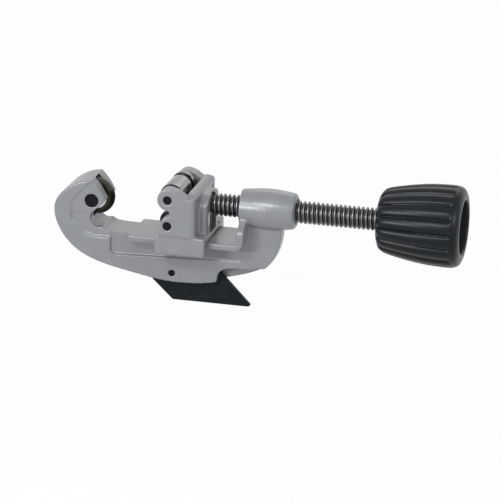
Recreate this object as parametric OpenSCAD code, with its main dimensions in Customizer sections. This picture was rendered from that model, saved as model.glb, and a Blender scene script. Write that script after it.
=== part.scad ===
// Tube cutter with a fold-out reamer, in millimetres.
// The feed screw runs along X, towards the knob at +X.
// The axis of the held work runs along Y. The jaw opens upward, along +Z.
// The origin is the centre of the held work, where it crosses the feed axis.

/* [Jaw] */
// Width of the jaw across both cheeks
jaw_w = 19.6; // [18:0.2:24]
// Width of the slot that the cutter wheel runs in
jaw_slot_w = 6; // [5.6:0.2:7]
// Distance from the work axis to the outer nose of the jaw
jaw_reach = 39.1; // [38:0.1:42]
// Distance from the outer nose of the jaw forward to its tip
tip_wall = 17; // [16.6:0.1:17.6]
// Height of the jaw tip above the feed axis
jaw_top = 8.4; // [7.5:0.1:9]
// Depth of the shallow panel round the wheel pin
pocket_depth = 0.6; // [0.4:0.1:0.9]
// Radius of the relief at the root of the throat
relief_r = 4; // [3.6:0.1:4.4]

/* [Beam and web] */
// Distance from the feed axis down to the lowest point of the beam
beam_drop = 36; // [35:0.5:40]
// Distance from the work axis to the rear edge of the web
web_reach = 63.3; // [60:0.1:66]
// Thickness of the web under the barrel
web_w = 6.6; // [5.6:0.2:8]
// Depth that the beam's lower rib stands proud of its side panel at the rear
rib_step = 0.6; // [0.3:0.1:1]
// Depth that the beam's lower rib stands proud of its side panel at the jaw
rib_step_front = 1.4; // [0.8:0.1:2.6]
// Distance from the feed axis down to the ledge on top of the lower rib
ledge_drop = 24.6; // [24:0.1:26]
// Corner radius of the side panel
panel_r = 2.4; // [1.5:0.1:3]

/* [Rail] */
// Width of the rail flange that guides the carriage
rail_w = 26.4; // [24:0.2:28]
// Thickness of the rail flange
rail_t = 2.7; // [2.2:0.1:3]
// Distance from the feed axis down to the top of the rail
rail_drop = 14.2; // [14:0.1:15]
// Length of the rail in front of the work axis
rail_nose = 4; // [3:0.5:5]
// Distance from the work axis to the inner face of the upright
upright_x = 45; // [44:0.5:48]
// Thickness of the upright
upright_t = 3.1; // [2.5:0.1:4]

/* [Barrel] */
// Length of the threaded barrel
barrel_l = 25; // [22:0.5:28]
// Largest diameter of the barrel
barrel_d = 18.2; // [17:0.1:20]
// Diameter of the barrel at its front end
barrel_front_d = 16.2; // [15.6:0.1:16.8]
// Diameter of the barrel at its rear end
barrel_rear_d = 16.4; // [15:0.1:17]
// Diameter of the countersink at the mouth of the barrel
mouth_d = 11.6; // [11:0.1:12.4]

/* [Cutter wheel] */
// Diameter of the cutter wheel
wheel_d = 16.8; // [16:0.2:18]
// Thickness of the wheel's hub
wheel_t = 4.8; // [4:0.1:4.8]
// Diameter of the wheel's hub
wheel_hub_d = 13.8; // [12:0.2:14]
// Distance from the outer nose of the jaw forward to the wheel's pin
wheel_wall = 17.1; // [16.8:0.1:17.8]
// Drop of the wheel's pin below the feed axis
wheel_drop = 1; // [0.6:0.1:1.4]
// Diameter of the wheel's pin
wheel_pin_d = 4.8; // [4:0.1:5]
// Diameter of the head of the wheel's pin
wheel_head_d = 6; // [5.8:0.1:6.6]
// Outer diameter of the bush in the wheel
wheel_bush_d = 7; // [6.4:0.1:7.6]

/* [Rollers] */
// Diameter of each roller
roller_d = 10.6; // [10:0.1:11]
// Length of each roller
roller_l = 24.4; // [22:0.2:24.4]
// Distance from the work axis to the roller pins
roller_x = 15.1; // [14.9:0.1:15.4]
// Half of the distance between the two roller pins
roller_z = 5.9; // [5.8:0.1:6.2]
// Drop of the middle of the two pins below the feed axis
roller_drop = 0.5; // [0:0.1:0.6]
// Diameter of each roller pin
roller_pin_d = 3.8; // [3:0.1:4.2]
// Outer diameter of the bushes in the rollers
roller_bush_d = 6; // [5.4:0.1:6.6]
// Length of each roller bush
roller_bush_l = 6; // [4:0.5:8]
// Width of the flare groove in each roller
flare_w = 3.6; // [2.4:0.1:4]
// Depth of the flare groove in each roller
flare_depth = 1.5; // [0.8:0.1:1.7]
// Distance from the middle of the roller to its flare groove
flare_y = 6; // [5:0.1:8]
// Depth of the step at each end of a roller
roller_step = 0.7; // [0.4:0.1:0.9]
// Length of that step
roller_step_l = 1.2; // [0.8:0.1:1.6]

/* [Carriage] */
// Width of the carriage over its side plates
carriage_w = 37.8; // [37:0.2:40]
// Gap between the side plates, where the rollers turn
carriage_gap = 24.9; // [24.9:0.1:25.3]
// Radius of the lobes round the roller pins
lobe_r = 5; // [4.6:0.1:5.2]
// Height of the top of the side plates
plate_top = 8.8; // [8:0.1:9.4]
// Distance from the work axis to the rear edge of the side plates
plate_rear = 27.7; // [27.2:0.1:28.4]
// Distance from the work axis to the rear of the column
carriage_rear = 31.3; // [31:0.1:32]
// Distance from the work axis to the rear of the skirt
skirt_rear = 31.9; // [31.4:0.1:32.4]
// Width of the rounded column at the rear of the carriage
column_w = 22.6; // [21:0.2:24]
// Height of the top of that column above the feed axis
column_top = 6.5; // [6.2:0.1:7.4]
// Distance from the work axis to the front of the skirt
skirt_front = 9.5; // [9:0.1:10.5]
// Distance from the feed axis down to the foot of the skirt
skirt_drop = 19.6; // [19.4:0.1:20.4]
// Distance from the feed axis down to the top of the skirt
skirt_top_drop = 11; // [10.6:0.1:11.2]
// Depth that the skirt is set in from the side plates
skirt_inset = 0.6; // [0.3:0.1:0.8]

/* [Feed screw] */
// Diameter over the thread
thread_d = 10; // [9.5:0.1:10.4]
// Diameter at the root of the thread
thread_root_d = 7.8; // [7.4:0.1:8]
// Pitch of the thread
thread_pitch = 2; // [1.5:0.1:3]
// Diameter of the nose that turns in the carriage
nose_d = 7; // [6.4:0.1:7]
// Length of the nose
nose_l = 5.9; // [5.6:0.1:6]
// Width across the flats of the hexagonal tail inside the knob
tail_flats = 6.6; // [6:0.1:6.7]
// Diameter of the small screw that holds the knob on the tail
small_screw_d = 4; // [3:0.1:4]
// Diameter of the washer under the head of that screw
small_washer_d = 12; // [10:0.5:14]

/* [Knob] */
// Distance from the work axis to the front face of the knob
knob_x = 106; // [102:0.1:110]
// Length of the knob
knob_l = 37.5; // [36:0.1:42]
// Largest diameter of the knob
knob_d = 36.2; // [35:0.1:42]
// Diameter of the hollow in the end of the knob
recess_d = 24; // [20:0.5:26]
// Depth of the hollow in the end of the knob
recess_l = 16; // [13:0.5:16.5]
// Number of flutes round the knob
flutes = 16; // [10:1:18]
// Radius of the cutter that makes each flute
flute_r = 1.8; // [1.4:0.1:2.4]
// Depth of each flute
flute_depth = 1.3; // [0.8:0.1:1.5]

/* [Reamer] */
// Thickness of the reamer blade
blade_t = 2; // [1.6:0.1:2]
// Distance from the work axis to the reamer's pin
reamer_x = 14.5; // [14:0.1:15]
// Distance from the feed axis down to the reamer's pin
reamer_drop = 31.8; // [31.6:0.1:32]
// Reach of the blade from its pin to the tip
blade_reach = 34.8; // [32:0.1:35]
// Drop of the blade's lower edge below its pin
blade_drop = 14.2; // [12:0.1:14.2]
// Diameter of the reamer's pin
reamer_pin_d = 2.9; // [2.4:0.1:3.2]

/* [Hidden] */
$fn = 64;

// Gap round a shaft that turns in its bore
run_gap = 0.05;
// Gap round a piece that is pressed or riveted in its hole
press_gap = 0.02;
// Gap at each side between a sliding or turning piece and its guide
slide_gap = 0.25;
// Overrun of a cut past the face that it opens
over = 1;
// Gap between the rim of the wheel and its slot
wheel_room = 0.5;
// Number of steps that a curve takes between two of its points
curve_steps = 4;
// Depth of the round pocket in the knob's front face, where the thread runs in
collar_l = 2;

// Distances back from the work axis to the tip of the jaw and to the wheel's pin
jaw_tip = jaw_reach - tip_wall;
wheel_back = jaw_reach - wheel_wall;
// Heights of the two roller pins
upper_z = roller_z - roller_drop;
lower_z = -roller_z - roller_drop;
// Half widths that many modules share
jaw_half = jaw_w / 2;
web_half = web_w / 2;
slot_half = blade_t / 2 + 0.4 * blade_t / 2;
plate_half = carriage_w / 2;
gap_half = carriage_gap / 2;
column_half = column_w / 2;

// Outline of the nose, as shares of jaw_reach and beam_drop
nose_shares = [
    [0.69, 0.206], [0.798, 0.15], [0.895, 0.069], [0.972, -0.039], [1, -0.167], [0.977, -0.306],
    [0.916, -0.45], [0.818, -0.583], [0.69, -0.694], [0.524, -0.778], [0.332, -0.839], [0.102, -0.9]
];
// Outline of the belly and the rear edge, as shares of web_reach and beam_drop
belly_shares = [
    [0.079, -0.956], [0.19, -0.986], [0.316, -1], [0.442, -0.992], [0.569, -0.956], [0.679, -0.908],
    [0.782, -0.847], [0.869, -0.767], [0.93, -0.664], [0.97, -0.533], [0.992, -0.389], [1, -0.25]
];
// Outline of the throat from the rail to the jaw, as shares of jaw_tip and rail_drop
throat_shares = [[0.588, -1], [0.679, -0.979], [0.769, -0.894], [0.842, -0.634], [0.932, -0.387]];
// Front edge of the jaw, as shares of jaw_tip and jaw_top
front_shares = [[0.715, -0.06], [0.7285, 0.024], [0.78, 0.26], [0.846, 0.536], [0.93, 0.8]];
// Outline of the panel round the wheel pin, as shares of jaw_reach and beam_drop
pocket_shares = [
    [0.56, 0.23], [0.6, 0.19], [0.665, 0.12], [0.747, 0.022], [0.795, -0.07], [0.806, -0.183],
    [0.788, -0.281], [0.73, -0.368], [0.66, -0.444], [0.52, -0.475], [0.3, -0.475], [0.3, 0.23]
];
// Height of the step across that panel, as a share of beam_drop
pocket_step_share = -0.186;
// Centre of the relief at the root of the throat, as shares of jaw_tip and rail_drop
relief_shares = [0.842, -0.634];
// Place where the jaw's full width ends and the beam starts to taper
taper_x = jaw_reach / 3;
// Place where the taper ends, in front of the upright
taper_end_x = upright_x - over;
// Drop of the underside of the rail
rail_under = rail_drop + rail_t;
// Front end of the side panel, and its rear end
panel_x0 = -taper_x;
panel_x1 = upright_x + over / 2;
// Half width of the panel at its two ends
panel_half_front = jaw_half - rib_step_front;

// A point on the smooth curve from b to c, with a and d as its neighbours
function along(a, b, c, d, t) =
    (2 * b + (c - a) * t + (2 * a - 5 * b + 4 * c - d) * t * t + (3 * b - a - 3 * c + d) * t * t * t) / 2;
// A smooth open curve through all the given points
function curve(p) = [
    for (i = [0:len(p) - 2]) for (k = [0:curve_steps - 1])
        along(p[max(i - 1, 0)], p[i], p[i + 1], p[min(i + 2, len(p) - 1)], k / curve_steps),
    p[len(p) - 1]
];
// Shares turned into places, with x counted back from the work axis or forward of it
function places(shares, x_size, z_size) = [for (s = shares) [s[0] * x_size, s[1] * z_size]];

// Shapes that repeat

// A slab of the given width, centred on the middle plane, from an outline in X and Z
module slab(w) {
    rotate([90, 0, 0]) linear_extrude(w, center = true) children();
}

// A slab between two distances from the middle plane, on the near side
module near_slab(y0, y1) {
    translate([0, -y0, 0]) rotate([90, 0, 0]) linear_extrude(y1 - y0) children();
}

// The same slab on both sides of the middle plane
module both_slabs(y0, y1) {
    near_slab(y0, y1) children();
    mirror([0, 1, 0]) near_slab(y0, y1) children();
}

// A round bar along Y
module bar_y(x, z, r, y0, y1) {
    translate([x, y0, z]) rotate([-90, 0, 0]) cylinder(r = r, h = y1 - y0);
}

// A round bar along X
module bar_x(x0, x1, r) {
    translate([x0, 0, 0]) rotate([0, 90, 0]) cylinder(r = r, h = x1 - x0);
}

// A ring along Y between two radii
module ring_y(x, z, r_out, r_in, y0, y1) {
    difference() {
        bar_y(x, z, r_out, y0, y1);
        bar_y(x, z, r_in, y0 - over, y1 + over);
    }
}

// Frame

nose_line = curve(concat([[-jaw_tip, jaw_top]], places(nose_shares, -jaw_reach, beam_drop)));
belly_line = curve(places(belly_shares, web_reach, beam_drop));
throat_line = places(throat_shares, -jaw_tip, rail_drop);
front_line = places(front_shares, -jaw_tip, jaw_top);

// Side view of the whole casting: jaw, beam and web
module frame_outline() {
    difference() {
        polygon(concat(
            nose_line,
            belly_line,
            [[web_reach, -barrel_d / 4], [upright_x + upright_t / 2, -barrel_d / 4],
             [upright_x + upright_t / 2, -rail_drop]],
            throat_line,
            front_line
        ));
        translate([-relief_shares[0] * jaw_tip, relief_shares[1] * rail_drop]) circle(relief_r);
    }
}

// Side panel of the beam, from its ledge up to the rail
module panel_outline() {
    translate([panel_x0 + panel_r, -ledge_drop + panel_r]) circle(panel_r);
    translate([panel_x1 - panel_r, -ledge_drop + panel_r]) circle(panel_r);
    translate([panel_x0 + panel_r, -ledge_drop]) square([panel_x1 - panel_x0 - 2 * panel_r, ledge_drop]);
    translate([panel_x0, -ledge_drop + panel_r]) square([panel_x1 - panel_x0, ledge_drop - panel_r]);
}

// A block that is full width at the jaw and tapers to the rear, seen from above
module taper_block(front_half, rear_half) {
    z0 = -beam_drop - over;
    translate([0, 0, z0]) linear_extrude(beam_drop + jaw_top + 2 * over) polygon([
        [-jaw_reach - over, -front_half], [-taper_x, -front_half], [taper_end_x, -rear_half],
        [web_reach, -web_half], [web_reach, web_half],
        [taper_end_x, rear_half], [-taper_x, front_half], [-jaw_reach - over, front_half]
    ]);
}

// Rail flange and upright, one bent plate in side view
module rail_outline() {
    inner_r = bend_r - rail_t;
    difference() {
        translate([-rail_nose, -rail_under])
            square([upright_x + upright_t + rail_nose, rail_under + barrel_front_d / 2]);
        difference() {
            translate([-rail_nose - over, -rail_drop])
                square([upright_x + rail_nose + over, rail_drop + barrel_front_d]);
            difference() {
                translate([upright_x - inner_r, -rail_drop]) square(inner_r);
                translate([upright_x - inner_r, -rail_drop + inner_r]) circle(inner_r);
            }
        }
        difference() {
            translate([upright_x + upright_t - bend_r, -rail_under - over])
                square([bend_r + over, bend_r + over]);
            translate([upright_x + upright_t - bend_r, -rail_under + bend_r]) circle(bend_r);
        }
    }
}
// Radius of the bend from the rail into the upright
bend_r = 4;

// Upright seen from the front: as wide as the rail, then drawn in to meet the barrel.
// The points are shares of half the rail's width and of barrel_front_d.
upright_shares = [
    [1, -0.62], [0.985, -0.54], [0.93, -0.47], [0.83, -0.41], [0.7, -0.34], [0.56, -0.2], [0.4, 0]
];

module upright_outline() {
    side = places(upright_shares, rail_w / 2, barrel_front_d);
    for (m = [0, 1]) mirror([m, 0])
        polygon(concat([[0, 0], [0, -rail_under], [rail_w / 2, -rail_under]], side));
    circle(barrel_front_d / 2);
}

// Front end of the barrel, which stands just proud of the upright
barrel_x = upright_x - upright_t * 0.19;

// Barrel in half section: slightly bulged, with rounded ends
module barrel_half_section() {
    round_r = barrel_l / 10;
    polygon(concat(
        [[0, 0], [barrel_front_d / 2 - round_r / 3, 0]],
        curve([
            [barrel_front_d / 2 - round_r / 12, round_r / 12], [barrel_front_d / 2, round_r / 3],
            [barrel_d / 2, barrel_l / 2], [barrel_rear_d / 2, barrel_l - round_r],
            [barrel_rear_d / 2 - round_r / 3, barrel_l - round_r / 4]
        ]),
        [[barrel_rear_d / 2 - round_r, barrel_l], [0, barrel_l]]
    ));
}

// Opening for the wheel, round behind it and open to the throat
module wheel_slot() {
    slot_r = wheel_d / 2 + wheel_room;
    slab(jaw_slot_w) union() {
        translate([-wheel_back, -wheel_drop]) circle(slot_r);
        translate([-wheel_back, -wheel_drop - slot_r]) square([wheel_back - rail_nose, 2 * slot_r]);
    }
}

// Blade of the reamer about its pin, laid out as the blade stands when it is open.
// The points are shares of blade_reach and blade_drop.
blade_shares = [
    [1, -0.944], [0.506, 0.282], [-0.33, 0.282], [-0.365, 0.18], [-0.382, 0.056],
    [-0.371, -0.169], [-0.282, -0.408], [-0.034, -0.972], [-0.014, -1], [0.966, -1], [0.99, -0.98]
];
blade_points = places(blade_shares, blade_reach, blade_drop);

// Gap round the blade where it swings in the beam
blade_gap = 0.3;
// Farthest point of the blade from its pin
blade_far = sqrt(pow(blade_reach, 2) + pow(0.944 * blade_drop, 2)) + blade_gap;
// Height of the blade's upper edge above its pin, with a gap
blade_rise = 0.282 * blade_drop + blade_gap;
// Length of the slot behind the reamer's pin, as a share of web_reach
slot_rear_share = 0.67;

// Room for the blade in the beam: where it stands open, where it swings, and where it lies folded
module blade_room() {
    intersection() {
        translate([reamer_x, -reamer_drop]) union() {
            circle(blade_drop + blade_gap);
            intersection() {
                circle(blade_far);
                translate([-blade_far, -blade_far]) square([blade_far, 2 * blade_far]);
            }
            translate([0, -blade_far]) square([slot_rear_share * web_reach, blade_far + blade_rise]);
        }
        translate([-jaw_reach, -2 * beam_drop])
            square([jaw_reach + web_reach, 2 * beam_drop - rail_under - slide_gap]);
    }
}

// Finger notch in the near side of the beam, as shares of web_reach and beam_drop
notch_shares = [
    [0.53, -1.1], [0.545, -0.94], [0.555, -0.86], [0.58, -0.81], [0.615, -0.784], [0.68, -0.773],
    [0.78, -0.77], [0.872, -0.752], [0.95, -0.8], [0.95, -1.1]
];

module frame() {
    color("silver") difference() {
        union() {
            slab(web_w) frame_outline();
            intersection() {
                slab(jaw_w) difference() {
                    frame_outline();
                    panel_outline();
                }
                taper_block(jaw_half, web_half + rib_step);
            }
            intersection() {
                slab(jaw_w) intersection() {
                    frame_outline();
                    panel_outline();
                }
                taper_block(panel_half_front, web_half);
            }
            intersection() {
                slab(rail_w) rail_outline();
                translate([-rail_nose - over, 0, 0]) rotate([90, 0, 90])
                    linear_extrude(upright_x + upright_t + rail_nose + over) upright_outline();
            }
            translate([barrel_x, 0, 0]) rotate([0, 90, 0]) rotate_extrude() barrel_half_section();
        }
        // slot, pin hole and shallow panels of the jaw
        wheel_slot();
        bar_y(-wheel_back, -wheel_drop, wheel_pin_d / 2 + press_gap, -jaw_w, jaw_w);
        bar_y(-wheel_back, -wheel_drop, wheel_head_d / 2 + press_gap,
              -jaw_w, -jaw_half + pocket_depth + head_t);
        both_slabs(jaw_half - pocket_depth, jaw_half + over)
            polygon(places(pocket_shares, -jaw_reach, beam_drop));
        both_slabs(jaw_half - 1.6 * pocket_depth, jaw_half + over) intersection() {
            polygon(places(pocket_shares, -jaw_reach, beam_drop));
            translate([-jaw_reach, -beam_drop]) square([jaw_reach, beam_drop * (1 + pocket_step_share)]);
        }
        // feed bore and its countersunk mouth
        bar_x(barrel_x - over, barrel_x + barrel_l + over, thread_d / 2 + run_gap);
        translate([barrel_x + barrel_l - mouth_l, 0, 0]) rotate([0, 90, 0])
            cylinder(d1 = thread_d + 2 * run_gap, d2 = mouth_d, h = mouth_l);
        // room for the reamer, its pin hole and the finger notch
        slab(2 * slot_half) blade_room();
        bar_y(reamer_x, -reamer_drop, reamer_pin_d / 2 + press_gap, -jaw_w, jaw_w);
        near_slab(-slot_half, jaw_half) polygon(curve(places(notch_shares, web_reach, beam_drop)));
    }
}

// Cutter wheel, its pin and what holds it

// Thickness of the head of the wheel's pin
head_t = 1.4;
// Length of the countersink at the mouth of the barrel
mouth_l = 1.6;
// Depth and width of the groove for the clip
clip_groove = 0.6;
clip_t = 0.5;
// Distance that the clip keeps from the face of the far cheek
clip_y = jaw_half - pocket_depth + run_gap;
washer_t = (jaw_slot_w - wheel_t) / 2 - run_gap * 2;

module cutter_wheel() {
    edge_half = wheel_t / 20;
    bevel_r = (wheel_hub_d + wheel_d) / 4;
    color("dimgray") translate([-wheel_back, 0, -wheel_drop]) rotate([90, 0, 0]) rotate_extrude() polygon([
        [wheel_bush_d / 2 + press_gap, -wheel_t / 2], [wheel_hub_d / 2, -wheel_t / 2],
        [bevel_r, -wheel_t * 0.27], [wheel_d / 2, -edge_half], [wheel_d / 2, edge_half],
        [bevel_r, wheel_t * 0.27], [wheel_hub_d / 2, wheel_t / 2], [wheel_bush_d / 2 + press_gap, wheel_t / 2]
    ]);
}

module wheel_bush() {
    color("goldenrod")
        ring_y(-wheel_back, -wheel_drop, wheel_bush_d / 2, wheel_pin_d / 2 + run_gap,
               -wheel_t / 2, wheel_t / 2);
}

module wheel_pin() {
    head_y = -jaw_half + pocket_depth;
    color([0.1, 0.1, 0.11]) difference() {
        union() {
            bar_y(-wheel_back, -wheel_drop, wheel_head_d / 2, head_y, head_y + head_t);
            bar_y(-wheel_back, -wheel_drop, wheel_pin_d / 2, head_y, clip_y + clip_t + clip_groove / 2);
        }
        ring_y(-wheel_back, -wheel_drop, wheel_pin_d, wheel_pin_d / 2 - clip_groove, clip_y, clip_y + clip_t);
    }
}

// Open ring that snaps into the groove of the wheel's pin
module wheel_pin_clip() {
    inner_r = wheel_pin_d / 2 - clip_groove + press_gap;
    color([0.2, 0.2, 0.22]) difference() {
        ring_y(-wheel_back, -wheel_drop, wheel_pin_d * 0.8, inner_r,
               clip_y + press_gap, clip_y + clip_t - press_gap);
        translate([-wheel_back - inner_r * 0.8, clip_y - over, -wheel_drop - wheel_pin_d])
            cube([inner_r * 1.6, clip_t + 2 * over, wheel_pin_d]);
    }
}

module wheel_washers() {
    color([0.6, 0.6, 0.62]) for (side = [0, 1]) mirror([0, side, 0])
        ring_y(-wheel_back, -wheel_drop, wheel_hub_d * 0.38, wheel_pin_d / 2 + run_gap,
               wheel_t / 2 + run_gap, wheel_t / 2 + run_gap + washer_t);
}

// Carriage

// Radius of the rounded rear edges of the side plates
plate_r = 2.4;
// Drop of the floor that rides on the rail
floor_drop = rail_drop - run_gap * 2;
// Thickness of that floor under the rollers
floor_t = 2;
// Width of the lips that hold the carriage down on the rail
lip_w = 2;
// Thickness of the wall behind the rollers, and its front face
wall_t = 4.1;
wall_x = plate_rear - wall_t;
// Rear face of the block that the screw's nose turns in
block_x = plate_rear + 1;
// Front face of the pad round the nose
pad_x = wall_x - 1.9;
pad_r = 6.4;
// Radius of the arch that the feed screw passes under
arch_r = thread_d / 2 + 0.35;
// Place and radius of the pin that keeps the nose in the carriage
keep_r = 0.9;
neck_r = 2.2;
keep_x = block_x - nose_l / 2;
keep_z = -(neck_r + run_gap + keep_r);
// Depth of the keeper pin's hole on the near side, as a share of half the carriage
keep_share = 0.3;
// Radii of the corners of the skirt
skirt_r = 1.7;
// Height of the outer top edge of the plates at the rear, as a share of plate_top
shoulder_share = 0.72;
// Radius of the upright groove between each plate and the column
scoop_r = 1.6;
// Radius of the column's upper and rear edges
column_r = 2.4;
// Half of the rear column in outline, as shares of column_w / 2 and column_top
column_shares = [[1, -0.4], [0.97, 0.02], [0.86, 0.42], [0.66, 0.76], [0.36, 0.95], [0, 1]];

// Side view of one side plate: its two lobes reach a little past the pins
module plate_outline() {
    upper_x = roller_x + lobe_r * 0.08;
    lower_x = roller_x + lobe_r * 0.28;
    upper_lobe_z = upper_z + lobe_r * 0.02;
    lower_lobe_z = lower_z - lobe_r * 0.1;
    shoulder_z = plate_top * shoulder_share;
    difference() {
        union() {
            translate([upper_x, upper_lobe_z]) circle(lobe_r);
            translate([lower_x, lower_lobe_z]) circle(lobe_r);
            polygon(concat(
                curve([
                    [upper_x + lobe_r * 0.45, upper_lobe_z + lobe_r * 0.89],
                    [upper_x + lobe_r * 0.83, plate_top * 1.05], [upper_x + lobe_r * 1.35, plate_top * 0.84],
                    [upper_x + lobe_r * 1.85, shoulder_z], [plate_rear - plate_r * 0.7, shoulder_z],
                    [plate_rear, shoulder_z - plate_r * 0.7]
                ]),
                [[plate_rear, -skirt_top_drop], [lower_x - lobe_r, -skirt_top_drop],
                 [lower_x - lobe_r, lower_lobe_z], [lower_x, lower_lobe_z],
                 [upper_x + lobe_r * 0.1, -roller_drop], [upper_x, upper_lobe_z]]
            ));
        }
        translate([0, -skirt_top_drop - 2 * lobe_r]) square([plate_rear, 2 * lobe_r]);
    }
}

// Side view of a block whose upper rear corner is rounded
module rounded_block(rear, top, r) {
    translate([0, -floor_drop]) square([rear - r, floor_drop + top]);
    translate([0, -floor_drop]) square([rear, floor_drop + top - r]);
    translate([rear - r, top - r]) circle(r);
}

// View from above of a block whose two rear corners are rounded
module rounded_plan(rear, half, r) {
    translate([0, -half]) square([rear - r, 2 * half]);
    translate([0, -half + r]) square([rear, 2 * half - 2 * r]);
    for (side = [-1, 1]) translate([rear - r, side * (half - r)]) circle(r);
}

// Side view of the skirt that straddles the rail
module skirt_outline() {
    translate([skirt_front + skirt_r, -skirt_drop])
        square([skirt_rear - skirt_front - 2 * skirt_r, skirt_drop - skirt_top_drop]);
    translate([skirt_front, -skirt_drop + skirt_r])
        square([skirt_rear - skirt_front, skirt_drop - skirt_top_drop - skirt_r]);
    for (x = [skirt_front + skirt_r, skirt_rear - skirt_r])
        translate([x, -skirt_drop + skirt_r]) circle(skirt_r);
}

// Wall behind the rollers, seen from behind: its top slopes down to the outer edges
module wall_outline() {
    side = [
        [plate_half - skirt_inset, -floor_drop], [plate_half - skirt_inset, -skirt_top_drop],
        [plate_half, -skirt_top_drop], [plate_half, plate_top * shoulder_share], [plate_half * 0.8, plate_top]
    ];
    for (m = [0, 1]) mirror([m, 0]) polygon(concat([[0, plate_top], [0, -floor_drop]], side));
}

// Rear column seen from behind: straight sides under a round arch
module column_outline() {
    half = curve(places(column_shares, column_half, column_top));
    for (m = [0, 1]) mirror([m, 0]) polygon(concat([[0, -floor_drop], [column_half, -floor_drop]], half));
}

// Upright groove with tapered ends, beside the column
module scoop() {
    top_z = plate_top * 0.45;
    low_z = -skirt_top_drop * 0.8;
    translate([plate_rear + scoop_r / 2, column_half + scoop_r * 0.92, 0]) {
        translate([0, 0, low_z]) cylinder(r = scoop_r, h = top_z - low_z);
        translate([0, 0, top_z]) cylinder(r1 = scoop_r, r2 = scoop_r / 4, h = 2 * scoop_r);
        translate([0, 0, low_z - scoop_r]) cylinder(r1 = scoop_r / 4, r2 = scoop_r, h = scoop_r);
    }
}

module carriage() {
    guide_half = rail_w / 2 + slide_gap;
    color("silver") difference() {
        union() {
            intersection() {
                union() {
                    both_slabs(gap_half, plate_half) plate_outline();
                    intersection() {
                        translate([wall_x, 0, 0]) rotate([90, 0, 90]) linear_extrude(wall_t) wall_outline();
                        slab(carriage_w) rounded_block(plate_rear, plate_top, plate_r * 1.25);
                    }
                }
                translate([0, 0, -floor_drop]) linear_extrude(floor_drop + roller_z + 2 * lobe_r)
                    rounded_plan(plate_rear, plate_half, plate_r);
            }
            both_slabs(guide_half, plate_half - skirt_inset) skirt_outline();
            // lips under the rail
            both_slabs(guide_half - lip_w, guide_half + over) translate([skirt_front + skirt_r, -skirt_drop])
                square([skirt_rear - skirt_front - 2 * skirt_r, skirt_drop - rail_under - slide_gap]);
            // shoulders of the skirt, which meet the column
            both_slabs(column_half - over, guide_half + over) translate([wall_x, -floor_drop])
                square([skirt_rear - wall_x, floor_drop - skirt_top_drop]);
            // floor on the rail, column behind the wall and pad round the nose
            slab(2 * guide_half + over) translate([roller_x - lobe_r * 0.8, -floor_drop])
                square([skirt_rear - roller_x + lobe_r * 0.8, floor_t]);
            intersection() {
                translate([wall_x, 0, 0]) rotate([90, 0, 90])
                    linear_extrude(carriage_rear - wall_x) column_outline();
                slab(column_w) rounded_block(carriage_rear, column_top, column_r);
                translate([0, 0, -floor_drop]) linear_extrude(floor_drop + column_top)
                    rounded_plan(carriage_rear, column_half, column_r);
            }
            bar_x(pad_x, wall_x + over, pad_r);
        }
        for (m = [0, 1]) mirror([0, m, 0]) scoop();
        // pin holes
        for (side = [-1, 1])
            bar_y(roller_x, side * roller_z - roller_drop, roller_pin_d / 2 + press_gap,
                  -carriage_w, carriage_w);
        // bore for the nose, arch for the thread and hole for the keeper pin
        bar_x(block_x - nose_l - slide_gap, carriage_rear + over, nose_d / 2 + run_gap);
        translate([block_x, 0, 0]) rotate([90, 0, 90]) linear_extrude(carriage_rear) union() {
            circle(arch_r);
            translate([-arch_r, -floor_drop + floor_t]) square([2 * arch_r, floor_drop - floor_t]);
        }
        bar_y(keep_x, keep_z, keep_r + press_gap, -plate_half * keep_share, plate_half + over);
    }
}

// Rollers

module roller(z) {
    flare_y0 = flare_y - flare_w / 2;
    edge = roller_d / 20;
    half = roller_l / 2;
    bore_r = roller_bush_d / 2 + press_gap;
    step_r = roller_d / 2 - roller_step;
    color("lightgray") translate([roller_x, 0, z]) rotate([-90, 0, 0]) rotate_extrude() polygon([
        [bore_r, -half], [step_r, -half], [step_r, -half + roller_step_l],
        [roller_d / 2 - edge, -half + roller_step_l], [roller_d / 2, -half + roller_step_l + edge],
        [roller_d / 2, flare_y0], [roller_d / 2 - flare_depth, flare_y0 + flare_w / 5],
        [roller_d / 2 - flare_depth, flare_y0 + flare_w * 0.8], [roller_d / 2, flare_y0 + flare_w],
        [roller_d / 2, half - roller_step_l - edge], [roller_d / 2 - edge, half - roller_step_l],
        [step_r, half - roller_step_l], [step_r, half], [bore_r, half]
    ]);
}

module roller_pin(z) {
    pin_half = plate_half - skirt_inset / 2;
    color([0.1, 0.1, 0.11]) bar_y(roller_x, z, roller_pin_d / 2, -pin_half, pin_half);
}

module roller_bushes(z) {
    color("goldenrod") for (side = [0, 1]) mirror([0, side, 0])
        ring_y(roller_x, z, roller_bush_d / 2, roller_pin_d / 2 + run_gap,
               roller_l / 2 - roller_bush_l, roller_l / 2);
}

module upper_roller() { roller(upper_z); }
module lower_roller() { roller(lower_z); }
module upper_roller_pin() { roller_pin(upper_z); }
module lower_roller_pin() { roller_pin(lower_z); }
module upper_roller_bushes() { roller_bushes(upper_z); }
module lower_roller_bushes() { roller_bushes(lower_z); }

// Feed screw, and what holds it in the carriage

// Thickness of the thrust washer between the screw's shoulder and the block
thrust_t = 1;
// Place of the screw's shoulder
shoulder_x = block_x + thrust_t + 2 * run_gap;
// Place where the thread ends, just inside the knob
thread_end_x = knob_x + collar_l;
thread_turns = floor((thread_end_x - shoulder_x) / thread_pitch) - 1;
// Place where the first ridge of the thread starts
thread_x0 = shoulder_x + thread_pitch / 2;
// Gap between the end of the tail and the washer in the knob's hollow
tail_gap = 2.5;
// Length of the tail, which ends just short of that washer
tail_l = knob_l - recess_l - collar_l - tail_gap;
tail_end_x = thread_end_x + tail_l;

// Length of the small screw inside the tail
small_screw_l = tail_l * 0.53;

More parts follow.
